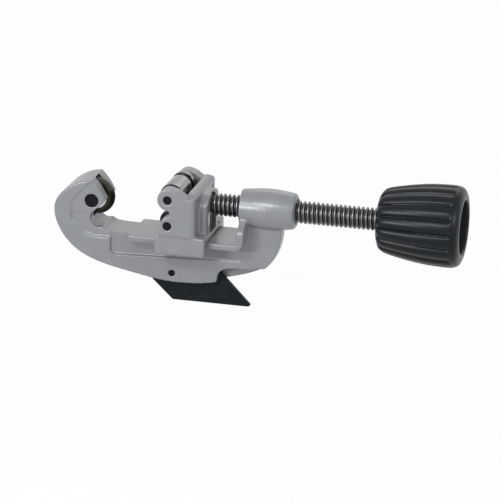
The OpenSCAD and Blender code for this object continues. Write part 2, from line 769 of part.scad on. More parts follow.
// One ridge of the thread in half section, starting at x
function ridge(x) = [
    [thread_root_d / 2, x + thread_pitch * 0.1], [thread_d / 2, x + thread_pitch * 0.36],
    [thread_d / 2, x + thread_pitch * 0.64], [thread_root_d / 2, x + thread_pitch * 0.9]
];

// Half section of the screw from its nose to the end of the thread
module screw_half_section() {
    polygon(concat(
        [[0, block_x - nose_l], [nose_d / 2, block_x - nose_l],
         [nose_d / 2, keep_x - keep_r - run_gap], [neck_r, keep_x - keep_r - run_gap],
         [neck_r, keep_x + keep_r + run_gap], [nose_d / 2, keep_x + keep_r + run_gap],
         [nose_d / 2, shoulder_x], [thread_root_d / 2, shoulder_x]],
        [for (i = [0:thread_turns - 1]) each ridge(thread_x0 + i * thread_pitch)],
        [[thread_root_d / 2, thread_end_x], [0, thread_end_x]]
    ));
}

module feed_screw() {
    color([0.45, 0.45, 0.46]) difference() {
        union() {
            rotate([0, 90, 0]) rotate_extrude() screw_half_section();
            translate([thread_end_x - over / 2, 0, 0]) rotate([0, 90, 0])
                cylinder(d = tail_flats / cos(30), h = tail_l + over / 2, $fn = 6);
        }
        bar_x(tail_end_x - small_screw_l, tail_end_x + over, small_screw_d / 2 + press_gap);
    }
}

module thrust_washer() {
    color([0.6, 0.6, 0.62]) difference() {
        bar_x(block_x + run_gap, block_x + run_gap + thrust_t, arch_r - 2 * run_gap);
        bar_x(block_x - over, block_x + thrust_t + over, nose_d / 2 + run_gap);
    }
}

module screw_retaining_pin() {
    color([0.2, 0.2, 0.22])
        bar_y(keep_x, keep_z, keep_r, -plate_half * keep_share + slide_gap, plate_half - slide_gap);
}

// Knob

// Half section of the knob, as shares of its radius and its length
knob_shares = [
    [0.6, 0.006], [0.7, 0.028], [0.765, 0.062], [0.8, 0.11], [0.84, 0.213], [0.899, 0.373],
    [0.959, 0.56], [0.99, 0.72], [1, 0.84], [0.987, 0.91], [0.93, 0.968], [0.82, 0.996]
];
// Lean of a flute, which follows the taper of the knob
flute_lean = atan(0.4 * knob_d / 2 / knob_l);
// Distance of a flute's floor from the feed axis at the front of the knob, as a share of its radius
flute_floor_share = 0.738;
// Turn of the flutes about the feed axis
flute_turn = -2;
// Diameter of the hollow at its floor
recess_floor_d = recess_d * 0.9;
// Floor of the hollow
recess_floor_x = knob_x + knob_l - recess_l;
// Thickness of the washer in the hollow, and height of the head of the screw in it
small_washer_t = 1.2;
small_head_h = 2.6;

module knob() {
    knob_r = knob_d / 2;
    color([0.14, 0.16, 0.17]) difference() {
        translate([knob_x, 0, 0]) rotate([0, 90, 0]) rotate_extrude() polygon(concat(
            [[0, 0], [knob_r * 0.5, 0]],
            curve(places(knob_shares, knob_r, knob_l)),
            [[recess_d / 2, knob_l], [0, knob_l]]
        ));
        for (i = [0:flutes - 1]) rotate([flute_turn + i * 360 / flutes, 0, 0])
            translate([knob_x, 0, knob_r * flute_floor_share + flute_r - flute_depth])
                rotate([0, 90 - flute_lean, 0]) translate([0, 0, -over * 3])
                    cylinder(r = flute_r, h = knob_l * 0.95 + over * 3);
        // hollow in the end
        translate([recess_floor_x, 0, 0]) rotate([0, 90, 0])
            cylinder(d1 = recess_floor_d, d2 = recess_d, h = recess_l + over / 20);
        // pocket for the end of the thread and bore for the tail
        bar_x(knob_x - over, thread_end_x, thread_d / 2 + slide_gap);
        translate([knob_x, 0, 0]) rotate([0, 90, 0])
            cylinder(d = (tail_flats + 2 * press_gap) / cos(30), h = knob_l - recess_l + over, $fn = 6);
    }
}

module knob_washer() {
    color([0.6, 0.6, 0.62]) difference() {
        bar_x(recess_floor_x + press_gap, recess_floor_x + small_washer_t, small_washer_d / 2);
        bar_x(recess_floor_x - over, recess_floor_x + small_washer_t + over, small_screw_d / 2 + press_gap);
    }
}

// Pan head screw with a hexagonal socket
module knob_screw() {
    head_x = recess_floor_x + small_washer_t + press_gap;
    color([0.2, 0.2, 0.22]) difference() {
        union() {
            bar_x(tail_end_x - small_screw_l + over, head_x + over / 2, small_screw_d / 2);
            translate([head_x, 0, 0]) rotate([0, 90, 0])
                cylinder(d1 = small_screw_d * 2, d2 = small_screw_d * 1.5, h = small_head_h);
        }
        translate([head_x + small_head_h * 0.3, 0, 0]) rotate([0, 90, 0])
            cylinder(d = small_screw_d * 0.7, h = small_head_h, $fn = 6);
    }
}

// Reamer

module reamer() {
    color([0.08, 0.09, 0.1]) difference() {
        slab(blade_t) translate([reamer_x, -reamer_drop]) polygon(blade_points);
        bar_y(reamer_x, -reamer_drop, reamer_pin_d / 2 + run_gap, -blade_t, blade_t);
    }
}

// Half width of the beam at the reamer's pin
beam_half_at_pin = jaw_half
    + (web_half + rib_step - jaw_half) * (reamer_x + taper_x) / (taper_end_x + taper_x);

module reamer_pin() {
    half = beam_half_at_pin - slide_gap;
    color([0.1, 0.1, 0.11]) bar_y(reamer_x, -reamer_drop, reamer_pin_d / 2, -half, half);
}

module reamer_washers() {
    y0 = blade_t / 2 + run_gap;
    color([0.6, 0.6, 0.62]) for (side = [0, 1]) mirror([0, side, 0])
        ring_y(reamer_x, -reamer_drop, reamer_pin_d * 1.1, reamer_pin_d / 2 + run_gap,
               y0, slot_half - run_gap);
}

frame();
cutter_wheel();
wheel_bush();
wheel_pin();
wheel_pin_clip();
wheel_washers();
carriage();
upper_roller();
lower_roller();
upper_roller_pin();
lower_roller_pin();
upper_roller_bushes();
lower_roller_bushes();
thrust_washer();
screw_retaining_pin();
feed_screw();
knob();
knob_washer();
knob_screw();
reamer();
reamer_pin();
reamer_washers();
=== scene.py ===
import math
import bpy
import bmesh
from mathutils import Matrix, Vector


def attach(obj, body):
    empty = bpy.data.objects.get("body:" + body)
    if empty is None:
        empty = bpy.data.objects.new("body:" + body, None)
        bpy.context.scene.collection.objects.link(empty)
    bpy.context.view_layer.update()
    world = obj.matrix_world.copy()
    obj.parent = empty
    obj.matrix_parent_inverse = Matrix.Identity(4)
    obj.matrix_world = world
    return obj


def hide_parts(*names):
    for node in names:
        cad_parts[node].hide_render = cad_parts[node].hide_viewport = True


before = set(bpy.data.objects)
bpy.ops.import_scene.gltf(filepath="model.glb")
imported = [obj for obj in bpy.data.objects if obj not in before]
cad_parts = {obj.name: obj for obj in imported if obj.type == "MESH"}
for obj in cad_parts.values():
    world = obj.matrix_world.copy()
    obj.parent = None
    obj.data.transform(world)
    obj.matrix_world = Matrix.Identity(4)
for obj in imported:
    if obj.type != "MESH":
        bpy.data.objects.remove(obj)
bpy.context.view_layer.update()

# Sizes and places of the part are millimetres, and MM turns them into metres
MM = 0.001
# Millimetres that count as nothing, and metres within which points become one
TINY, WELD = 1e-6, 1e-7


# Node helpers
def new_node(tree, kind, operation=None):
    node = tree.nodes.new(kind)
    if operation:
        node.operation = operation
    return node


def noise(tree, vector, scale, detail):
    """Noise texture whose factor varies over the surface."""
    node = new_node(tree, "ShaderNodeTexNoise")
    node.inputs["Scale"].default_value = scale
    node.inputs["Detail"].default_value = detail
    tree.links.new(vector, node.inputs["Vector"])
    return node.outputs["Fac"]


def map_range(tree, value, from_range, to_range=(0.0, 1.0)):
    node = new_node(tree, "ShaderNodeMapRange")
    node.inputs["From Min"].default_value, node.inputs["From Max"].default_value = from_range
    node.inputs["To Min"].default_value, node.inputs["To Max"].default_value = to_range
    tree.links.new(value, node.inputs["Value"])
    return node.outputs["Result"]


def axis_distance(tree, centre, mask):
    """Vector from a centre, and its length without the axes that the mask leaves out."""
    place = new_node(tree, "ShaderNodeTexCoord")
    offset = new_node(tree, "ShaderNodeVectorMath", "SUBTRACT")
    offset.inputs[1].default_value = [c * MM for c in centre]
    tree.links.new(place.outputs["Object"], offset.inputs[0])
    flat = new_node(tree, "ShaderNodeVectorMath", "MULTIPLY")
    flat.inputs[1].default_value = mask
    tree.links.new(offset.outputs["Vector"], flat.inputs[0])
    length = new_node(tree, "ShaderNodeVectorMath", "LENGTH")
    tree.links.new(flat.outputs["Vector"], length.inputs[0])
    return offset.outputs["Vector"], length.outputs["Value"]


def mix_base_colour(material, factor, colour):
    """Lay a second colour over the material's base colour."""
    tree = material.node_tree
    base = tree.nodes["Principled BSDF"].inputs["Base Color"]
    mix = new_node(tree, "ShaderNodeMix")
    mix.data_type = "RGBA"
    mix.inputs["B"].default_value = colour
    tree.links.new(base.links[0].from_socket, mix.inputs["A"])
    tree.links.new(factor, mix.inputs["Factor"])
    tree.links.new(mix.outputs["Result"], base)


# Materials: places of the colour ramp's ends, detail of the noises, scale of the patches of roughness
# beside that of the patches of colour, least roughness, and roughness of the coat
RAMP_ENDS = (0.3, 0.7)
COLOUR_DETAIL, FINE_DETAIL = 4.0, 3.0
ROUGH_SCALE, LEAST_ROUGH, COAT_ROUGH = 2.3, 0.02, 0.32


def node_material(name, colour, rough, metal=0.0, vary=0.12, scale=300.0, bump=0.05,
                  bump_scale=1500.0, rough_vary=0.08, stretch=(1.0, 1.0, 1.0), specular=0.5,
                  coat=0.0, bump_mm=0.05):
    """Principled material with patches of colour and roughness and a fine grain, all from noise."""
    material = bpy.data.materials.new(name)
    material.use_nodes = True
    tree = material.node_tree
    shader = tree.nodes["Principled BSDF"]
    shader.inputs["Metallic"].default_value = metal
    shader.inputs["Specular IOR Level"].default_value = specular
    shader.inputs["Coat Weight"].default_value = coat
    shader.inputs["Coat Roughness"].default_value = COAT_ROUGH
    place = new_node(tree, "ShaderNodeTexCoord")
    mapping = new_node(tree, "ShaderNodeMapping")
    mapping.inputs["Scale"].default_value = stretch
    tree.links.new(place.outputs["Object"], mapping.inputs["Vector"])
    vector = mapping.outputs["Vector"]
    ramp = new_node(tree, "ShaderNodeValToRGB")
    for end, position, share in zip(ramp.color_ramp.elements, RAMP_ENDS, (1 - vary, 1 + vary)):
        end.position = position
        end.color = [min(1.0, c * share) for c in colour] + [1]
    tree.links.new(noise(tree, vector, scale, COLOUR_DETAIL), ramp.inputs["Fac"])
    tree.links.new(ramp.outputs["Color"], shader.inputs["Base Color"])
    patches = noise(tree, vector, scale * ROUGH_SCALE, FINE_DETAIL)
    roughness = (max(LEAST_ROUGH, rough - rough_vary), rough + rough_vary)
    tree.links.new(map_range(tree, patches, (0.0, 1.0), roughness), shader.inputs["Roughness"])
    grain = new_node(tree, "ShaderNodeBump")
    grain.inputs["Strength"].default_value = bump
    grain.inputs["Distance"].default_value = bump_mm * MM
    tree.links.new(noise(tree, vector, bump_scale, FINE_DETAIL), grain.inputs["Height"])
    tree.links.new(grain.outputs["Normal"], shader.inputs["Normal"])
    return material


PAINT = node_material("cast_paint", (0.212, 0.215, 0.223), 0.33, metal=0.1, vary=0.05, scale=160,
                      bump=0.25, bump_scale=1400, rough_vary=0.05, bump_mm=0.06, coat=0.3)
# The rollers' strong patches of colour, stretched along the axis, are painted reflection bands
ROLLER = node_material("roller_steel", (0.28, 0.285, 0.29), 0.18, metal=1.0, vary=0.85, scale=200,
                       bump=0.15, bump_scale=900, stretch=(1, 0.07, 1), bump_mm=0.01)
WHEEL = node_material("wheel_steel", (0.038, 0.036, 0.026), 0.3, metal=1.0, vary=0.2, scale=200,
                      bump=0.2, bump_scale=900, bump_mm=0.01)
SCREW = node_material("screw_steel", (0.078, 0.078, 0.079), 0.36, metal=0.9, vary=0.3, scale=500,
                      bump=0.3, bump_scale=1800, bump_mm=0.03)
KNOB = node_material("knob_plastic", (0.0022, 0.0042, 0.0062), 0.34, vary=0.15, scale=250,
                     bump=0.08, bump_scale=2600, rough_vary=0.03, bump_mm=0.02, specular=0.23)
# Black oxide of the reamer blade, also painted shade in the rollers' end steps and groove
OXIDE_AND_PAINTED_SHADE = node_material("oxide", (0.007, 0.010, 0.012), 0.3, metal=0.1, vary=0.3, scale=220,
                      bump=0.2, bump_scale=1400, bump_mm=0.02, specular=0.13)
BLACKED = node_material("blacked", (0.008, 0.008, 0.010), 0.3, metal=0.2, vary=0.3, scale=400,
                        bump=0.2, bump_scale=1500, bump_mm=0.02, specular=0.09)
BRONZE = node_material("bronze", (0.50, 0.30, 0.12), 0.38, metal=1.0, vary=0.2, scale=700,
                       bump=0.3, bump_scale=2500, bump_mm=0.02)
PLATED = node_material("plated", (0.60, 0.60, 0.62), 0.28, metal=1.0, vary=0.1, scale=300,
                       bump=0.15, bump_scale=1200, bump_mm=0.01)

# Axes that count for the distance from an axis along X and from one along Y
ABOUT_X, ABOUT_Y = (0, 1, 1), (1, 0, 1)
# Centre of the cutter wheel
WHEEL_AT = (-22.0, 0, -1.0)
# Radii between which a painted highlight brightens the thread's crests and the wheel's rim
SCREW_SHINE, WHEEL_SHINE = (4.8, 4.98), (7.2, 8.3)
# Painted shade in the wheel's slot: radius, half width, softness at rim and sides, and cover
SLOT_RADIUS, SLOT_HALF = 9.1, 3.05
RIM_SOFT, SIDE_SOFT, SHADE_COVER = 0.2, 0.1, 0.9


def painted_crest_highlight(material, radii, bright, mask, centre=(0, 0, 0)):
    """Painted highlight: the colour brightens with the distance from an axis."""
    tree = material.node_tree
    distance = axis_distance(tree, centre, mask)[1]
    mix_base_colour(material, map_range(tree, distance, [r * MM for r in radii]), bright)


def painted_slot_shade(material, dark):
    """Painted shade in the wheel's slot: darker near the wheel's axis and the middle plane."""
    tree = material.node_tree
    vector, distance = axis_distance(tree, WHEEL_AT, ABOUT_Y)
    parts = new_node(tree, "ShaderNodeSeparateXYZ")
    tree.links.new(vector, parts.inputs["Vector"])
    side = new_node(tree, "ShaderNodeMath", "ABSOLUTE")
    tree.links.new(parts.outputs["Y"], side.inputs[0])
    both = new_node(tree, "ShaderNodeMath", "MULTIPLY")
    limits = ((distance, SLOT_RADIUS, RIM_SOFT), (side.outputs[0], SLOT_HALF, SIDE_SOFT))
    for n, (value, limit, soft) in enumerate(limits):
        shade = map_range(tree, value, (limit * MM, (limit + soft) * MM), (SHADE_COVER, 0.0))
        tree.links.new(shade, both.inputs[n])
    mix_base_colour(material, both.outputs[0], dark)


# Painted highlights on the thread's crests and on the wheel's rim
painted_crest_highlight(SCREW, SCREW_SHINE, (0.16, 0.16, 0.162, 1), ABOUT_X)
painted_crest_highlight(WHEEL, WHEEL_SHINE, (0.10, 0.098, 0.088, 1), ABOUT_Y, WHEEL_AT)
# Painted shade on the walls of the wheel's slot
painted_slot_shade(PAINT, (0.035, 0.033, 0.027, 1))

# Mesh helpers: angles over which an edge stays sharp and over which a corner is left as it is,
# and the greatest share of a side that the rounding of a corner takes
SHARP_DEG, FLAT_DEG, SIDE_SHARE = 32, 176, 0.49


def dress(piece, body, replaced=()):
    bpy.context.scene.collection.objects.link(piece)
    for face in piece.data.polygons:
        face.use_smooth = True
    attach(piece, body)
    if replaced:
        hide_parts(*replaced)
    return piece


def finish_mesh(name, shape, material, body, replaced=(), sharp_deg=SHARP_DEG):
    """Turn a bmesh into a dressed piece whose sharp edges stay sharp."""
    bmesh.ops.recalc_face_normals(shape, faces=shape.faces)
    mesh = bpy.data.meshes.new(name)
    shape.to_mesh(mesh)
    shape.free()
    mesh.materials.append(material)
    piece = dress(bpy.data.objects.new(name, mesh), body, replaced)
    mesh.set_sharp_from_angle(angle=math.radians(sharp_deg))
    return piece


def arc_corners(line, steps):
    """Open line of (x, y, corner radius), with each corner rounded by its radius."""
    points = [Vector((x, y)) for x, y, radius in line]
    radii = [radius for x, y, radius in line]
    out = [tuple(points[0])]
    for before, at, after, radius in zip(points, points[1:], points[2:], radii[1:]):
        back, ahead = before - at, after - at
        plain = radius <= 0 or min(back.length, ahead.length) < TINY
        if plain or back.angle(ahead) > math.radians(FLAT_DEG):
            out.append(tuple(at))
            continue
        cut = radius / math.tan(back.angle(ahead) / 2)
        cut = min(cut, back.length * SIDE_SHARE, ahead.length * SIDE_SHARE)
        start, end = at + back.normalized() * cut, at + ahead.normalized() * cut
        for k in range(steps + 1):
            t = k / steps
            out.append(tuple(start * (1 - t) ** 2 + at * 2 * t * (1 - t) + end * t ** 2))
    out.append(tuple(points[-1]))
    return out


def catmull(line, steps):
    """Smooth curve through the points of a line."""
    last = len(line) - 1
    out = []
    for i in range(last):
        a, b, c, d = (Vector(line[min(max(k, 0), last)]) for k in (i - 1, i, i + 1, i + 2))
        for k in range(steps):
            t = k / steps
            out.append(tuple(0.5 * (2 * b + (c - a) * t + (2 * a - 5 * b + 4 * c - d) * t * t
                                    + (3 * b - a - 3 * c + d) * t ** 3)))
    out.append(tuple(line[-1]))
    return out


def ring_of_points(shape, r, t, axis, middle, segments, radius):
    """Points at one place of a lathe's profile: a single one where it meets the axis."""
    angles = [2 * math.pi * j / segments for j in range(segments)] if r >= TINY else [0.0]
    ring = []
    for angle in angles:
        turned = radius(r, t, angle) if radius and r >= TINY else r
        c, s = turned * math.cos(angle), turned * math.sin(angle)
        place = Vector((t, c, s)) if axis == "x" else Vector((s, t, c))
        ring.append(shape.verts.new((place + middle) * MM))
    return ring


def lathe(name, profile, axis, centre, material, body, replaced=(), segments=96,
          radius=None, sharp_deg=SHARP_DEG):
    """Turn a profile of (radius, place) about an axis. A function radius(r, place, angle) may
    change it. A profile that ends on the axis is closed there, and any other one is a ring."""
    shape = bmesh.new()
    rings = [ring_of_points(shape, r, t, axis, Vector(centre), segments, radius) for r, t in profile]
    pairs = list(zip(rings, rings[1:]))
    if len(rings[0]) > 1 and len(rings[-1]) > 1:
        pairs.append((rings[-1], rings[0]))
    for a, b in pairs:
        for j in range(segments):
            k = (j + 1) % segments
            if len(a) == 1:
                shape.faces.new((a[0], b[j], b[k]))
            elif len(b) == 1:
                shape.faces.new((a[j], a[k], b[0]))
            else:
                shape.faces.new((a[j], a[k], b[k], b[j]))
    return finish_mesh(name, shape, material, body, replaced, sharp_deg)


# Castings: voxel that rounds their edges, factor and rounds of smoothing, and share of faces kept
CAST_VOXEL = 0.34
CAST_SMOOTH, CAST_ROUNDS = 0.5, 7
CAST_KEEP = 0.45


def softened(name, node):
    """A copy of a CAD solid with the rounded edges of a casting. Its node and body share a name."""
    source = bpy.data.objects.new("soft_source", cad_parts[node].data.copy())
    bpy.context.scene.collection.objects.link(source)
    remesh = source.modifiers.new("remesh", "REMESH")
    remesh.mode = "VOXEL"
    remesh.voxel_size = CAST_VOXEL * MM
    smooth = source.modifiers.new("smooth", "SMOOTH")
    smooth.factor = CAST_SMOOTH
    smooth.iterations = CAST_ROUNDS
    source.modifiers.new("thin", "DECIMATE").ratio = CAST_KEEP
    depsgraph = bpy.context.evaluated_depsgraph_get()
    mesh = bpy.data.meshes.new_from_object(source.evaluated_get(depsgraph), depsgraph=depsgraph)
    bpy.data.objects.remove(source)
    mesh.name = name
    mesh.materials.clear()
    mesh.materials.append(PAINT)
    dress(bpy.data.objects.new(name, mesh), node, (node,))


softened("frame_casting", "frame")
softened("carriage_casting", "carriage")

# Cutter wheel: radii of its bore, hub, bevel and edge, then half widths and rounding of the
# hub, the bevel and the edge
WHEEL_BORE, WHEEL_HUB, WHEEL_BEVEL, WHEEL_EDGE = 3.54, 6.9, 7.65, 8.4
HUB_HALF, BEVEL_HALF, EDGE_HALF = 2.4, 1.3, 0.11
HUB_ROUND, BEVEL_ROUND, EDGE_ROUND = 0.2, 0.5, 0.03
WHEEL_SEGMENTS = 128
wheel_half = [(WHEEL_EDGE, EDGE_HALF, EDGE_ROUND), (WHEEL_BEVEL, BEVEL_HALF, BEVEL_ROUND),
              (WHEEL_HUB, HUB_HALF, HUB_ROUND), (WHEEL_BORE, HUB_HALF, 0)]
wheel_line = arc_corners([(r, -y, c) for r, y, c in reversed(wheel_half)] + wheel_half, steps=3)
lathe("cutter_disc", wheel_line, "y", WHEEL_AT, WHEEL, "wheel", ("cutter_wheel",),
      segments=WHEEL_SEGMENTS)

# Rollers: X of both axes, then the piece, Z and CAD node of each
ROLLER_X = 15.1
ROLLERS = (("roller_top", 5.4, "upper_roller"), ("roller_low", -6.4, "lower_roller"))
# Radii of the bore, end step, groove and face
ROLLER_BORE, ROLLER_STEP, ROLLER_GROOVE, ROLLER_FACE = 3.04, 4.6, 3.8, 5.3
# Places along the pin: end, shoulder of the step and edge of the face, then the groove's two rims
# and the two edges of its floor
ROLLER_END, ROLLER_SHOULDER, ROLLER_EDGE = 12.2, 11.0, 10.85
GROOVE_RIMS, GROOVE_FLOOR = (3.95, 8.1), (4.7, 7.35)
# Rounding of the face, of the step and the groove's rims, of the shoulder, and of the floor
FACE_ROUND, STEP_ROUND, SHOULDER_ROUND, FLOOR_ROUND = 0.4, 0.2, 0.1, 0.3
# Faces whose middle is nearer to the axis than this are dark: painted shade in steps and groove
BRIGHT_RADIUS = 5.18
roller_line = arc_corners([
    (ROLLER_BORE, -ROLLER_END, 0), (ROLLER_STEP, -ROLLER_END, STEP_ROUND),
    (ROLLER_STEP, -ROLLER_SHOULDER, SHOULDER_ROUND), (ROLLER_FACE, -ROLLER_EDGE, FACE_ROUND),
    (ROLLER_FACE, GROOVE_RIMS[0], STEP_ROUND), (ROLLER_GROOVE, GROOVE_FLOOR[0], FLOOR_ROUND),
    (ROLLER_GROOVE, GROOVE_FLOOR[1], FLOOR_ROUND), (ROLLER_FACE, GROOVE_RIMS[1], STEP_ROUND),
    (ROLLER_FACE, ROLLER_EDGE, FACE_ROUND), (ROLLER_STEP, ROLLER_SHOULDER, SHOULDER_ROUND),
    (ROLLER_STEP, ROLLER_END, STEP_ROUND), (ROLLER_BORE, ROLLER_END, 0)], steps=4)

for name, z, node in ROLLERS:
    roller = lathe(name, roller_line, "y", (ROLLER_X, 0, z), ROLLER, node, (node,))
    roller.data.materials.append(OXIDE_AND_PAINTED_SHADE)
    axis_place = Vector((ROLLER_X * MM, z * MM))
    for face in roller.data.polygons:
        if (Vector((face.center[0], face.center[2])) - axis_place).length < BRIGHT_RADIUS * MM:
            face.material_index = 1

# Feed screw with a true helix: its pitch and radii, its ends, and the length over which the
# ridge fades there
PITCH, THREAD_ROOT, THREAD_CREST = 2.0, 3.9, 5.0
THREAD_START, THREAD_END, THREAD_FADE = 31.4, 107.9, 1.2
# Columns of points round it, turns by which they begin before its start, and spare turns, so
# that every column reaches past both ends
THREAD_COLUMNS, LEAD_TURNS, SPARE_TURNS = 72, 1.2, 3
THREAD_SHARP_DEG = 40
# One ridge as shares of the pitch and of the depth: its first half, mirrored for the second
RIDGE_HALF = [(0.0, 0.0), (0.07, 0.0), (0.12, 0.06), (0.20, 0.36), (0.28, 0.70), (0.345, 0.94),
              (0.39, 1.0), (0.45, 1.0)]
RIDGE = RIDGE_HALF + [(1 - along, height) for along, height in reversed(RIDGE_HALF[1:])]


def thread_shape():
    """Columns of points along the screw, each a little farther on, joined round the axis."""
    per_turn = len(RIDGE)
    turns = int((THREAD_END - THREAD_START) / PITCH) + SPARE_TURNS
    first = THREAD_START - PITCH * LEAD_TURNS
    depth = THREAD_CREST - THREAD_ROOT
    shape = bmesh.new()
    columns = []
    for j in range(THREAD_COLUMNS):
        angle = 2 * math.pi * j / THREAD_COLUMNS
        column = []
        for turn in range(turns):
            for along, height in RIDGE:
                x = first + (turn + along + j / THREAD_COLUMNS) * PITCH
                fade = min(1.0, (x - THREAD_START) / THREAD_FADE, (THREAD_END - x) / THREAD_FADE)
                r = THREAD_ROOT + depth * height * max(0.0, fade)
                x = min(max(x, THREAD_START), THREAD_END)
                column.append(shape.verts.new(
                    (x * MM, r * math.cos(angle) * MM, r * math.sin(angle) * MM)))
        columns.append(column)
    # the last column meets the first one a turn farther on
    columns.append(columns[0][per_turn:])
    for a, b in zip(columns, columns[1:]):
        for i in range(min(len(a), len(b)) - 1):
            shape.faces.new((a[i], a[i + 1], b[i + 1], b[i]))
    bmesh.ops.remove_doubles(shape, verts=shape.verts, dist=WELD)
    bmesh.ops.dissolve_degenerate(shape, dist=WELD, edges=shape.edges)
    loose = [v for v in shape.verts if not v.link_faces]
    bmesh.ops.delete(shape, geom=loose, context="VERTS")
    bmesh.ops.holes_fill(shape, edges=[e for e in shape.edges if e.is_boundary], sides=0)
    return shape


finish_mesh("screw_thread", thread_shape(), SCREW, "screw", ("feed_screw",),
            sharp_deg=THREAD_SHARP_DEG)

# Nose that turns in the carriage, with a neck for the keeper pin and a plug that reaches into
# the thread: places along the axis, radii, and rounding of the tip, the neck and the plug
NOSE_START, NECK, NOSE_END, PLUG_END = 23.4, (25.85, 27.75), 30.4, 31.6
NOSE_RADIUS, NECK_RADIUS = 3.5, 2.2
TIP_ROUND, NECK_ROUND, PLUG_ROUND = 0.4, 0.1, 0.2
NOSE_SEGMENTS = 64
nose_line = arc_corners([
    (0, NOSE_START, 0), (NOSE_RADIUS, NOSE_START, TIP_ROUND),
    (NOSE_RADIUS, NECK[0], NECK_ROUND), (NECK_RADIUS, NECK[0], NECK_ROUND),
    (NECK_RADIUS, NECK[1], NECK_ROUND), (NOSE_RADIUS, NECK[1], NECK_ROUND),
    (NOSE_RADIUS, NOSE_END, NECK_ROUND), (THREAD_ROOT, NOSE_END, PLUG_ROUND),
    (THREAD_ROOT, PLUG_END, 0), (0, PLUG_END, 0)], steps=3)
lathe("screw_nose", nose_line, "x", (0, 0, 0), SCREW, "screw",
      segments=NOSE_SEGMENTS)

# Knob: largest radius, length, and place of its back
KNOB_R, KNOB_L, KNOB_X = 18.1, 37.5, 106.0
# Outside of the knob as shares of its radius and length, and steps from point to point
KNOB_SHARES = [(0.6, 0.006), (0.7, 0.028), (0.765, 0.062), (0.805, 0.11), (0.856, 0.213),
               (0.92, 0.373), (0.973, 0.56), (0.995, 0.72), (1.0, 0.84), (0.987, 0.91),
               (0.93, 0.968), (0.82, 0.996)]
KNOB_STEPS = 10
# Hollow front: radii at its rim and floor, its depth, and the rounding of its rim and floor
RECESS_R, RECESS_FLOOR_R, RECESS_DEPTH = 12.0, 10.8, 15.99
RECESS_RIM_ROUND, RECESS_FLOOR_ROUND = 1.2, 1.0
RECESS_FLOOR = KNOB_L - RECESS_DEPTH
# Socket for the screw in the back, with the rounding of its mouth
SOCKET_R, SOCKET_DEPTH, SOCKET_ROUND = 5.25, 2.0, 0.4
# Flat rings at the back and front
BACK_R, FRONT_R = 0.55 * KNOB_R, 0.76 * KNOB_R
# Point of the floor just off the axis, so that the floor's corner has a side to round into
NEAR_AXIS = 0.01
back_line = arc_corners([(SOCKET_R, SOCKET_DEPTH, 0), (SOCKET_R, 0.0, SOCKET_ROUND),
                         (BACK_R, 0.0, 0)], steps=4)
side_line = catmull([(r * KNOB_R, t * KNOB_L) for r, t in KNOB_SHARES], KNOB_STEPS)
front_line = arc_corners([
    (FRONT_R, KNOB_L, 0), (RECESS_R, KNOB_L, RECESS_RIM_ROUND),
    (RECESS_FLOOR_R, RECESS_FLOOR, RECESS_FLOOR_ROUND), (NEAR_AXIS, RECESS_FLOOR, 0)], steps=6)
knob_line = [(0, SOCKET_DEPTH)] + back_line + side_line + front_line + [(0, RECESS_FLOOR)]

# Ribs of the knob: their number, the turn of the first groove in degrees, and steps round each
RIBS, RIB_TURN, RIB_STEPS = 16, 2.0, 28
# Depth of the V grooves, their share of half a rib's width, and fall of a rib's crown to them
GROOVE_DEPTH, GROOVE_SHARE, CROWN_DEPTH = 0.5, 0.4, 0.9
# End of the grooves along the knob, length of their run out, and start of the plain front rim
GROOVE_END, GROOVE_RUN, RIM_START = 0.905 * KNOB_L, 1.6, 0.91 * KNOB_L
# Radii at the back where the grooves start and where they reach their full depth
GROOVE_START_R, GROOVE_FULL_R = 0.56 * KNOB_R, 0.76 * KNOB_R
# The hollow front lies beyond this place along the knob and within its rim's radius, with a
# little to spare
RECESS_FROM, RECESS_SPARE = 0.5 * KNOB_L, 0.05
KNOB_SHARP_DEG = 50


def flute(r, t, angle):
    """Crowned ribs that meet in V grooves. The grooves end in a step before the front rim."""
    in_recess = t > RECESS_FROM and r < RECESS_R + RECESS_SPARE
    if r < GROOVE_START_R or t > RIM_START or in_recess:
        return r
    # the angle starts at +Y, and one groove lies beside the line that faces -Y
    turn = (math.degrees(angle) - 180.0 + RIB_TURN) / (360 / RIBS)
    off_groove = 2 * abs(turn - round(turn))
    groove = GROOVE_DEPTH * max(0.0, 1 - off_groove / GROOVE_SHARE) ** 2
    crown = CROWN_DEPTH * (1 - off_groove) ** 2
    run = t - GROOVE_END + GROOVE_RUN
    fade = 1.0 if run < 0 else math.sqrt(max(0.0, 1 - (run / GROOVE_RUN) ** 2))
    rise = min(1.0, max(0.0, (r - GROOVE_START_R) / (GROOVE_FULL_R - GROOVE_START_R)))
    return r - (groove + crown) * fade * rise


lathe("knob_grip", knob_line, "x", (KNOB_X, 0, 0), KNOB, "screw", ("knob",),
      segments=RIBS * RIB_STEPS, radius=flute, sharp_deg=KNOB_SHARP_DEG)

# Reamer blade: X and Z of its pin, reach and drop from there, half thickness and broken edge
BLADE_AT = (14.5, -31.8)
BLADE_REACH, BLADE_DROP, BLADE_HALF, BLADE_BEVEL = 34.8, 14.2, 1.0, 0.15
# Its outline about the pin, as shares of the reach and the drop
BLADE_SHARES = [(1, -0.944), (0.506, 0.282), (-0.33, 0.282), (-0.365, 0.18), (-0.382, 0.056),
                (-0.371, -0.169), (-0.282, -0.408), (-0.034, -0.972), (-0.014, -1), (0.966, -1),
                (0.99, -0.98)]
# Edges whose faces differ by more than this angle in radians are broken
BEVEL_TURN = 0.6


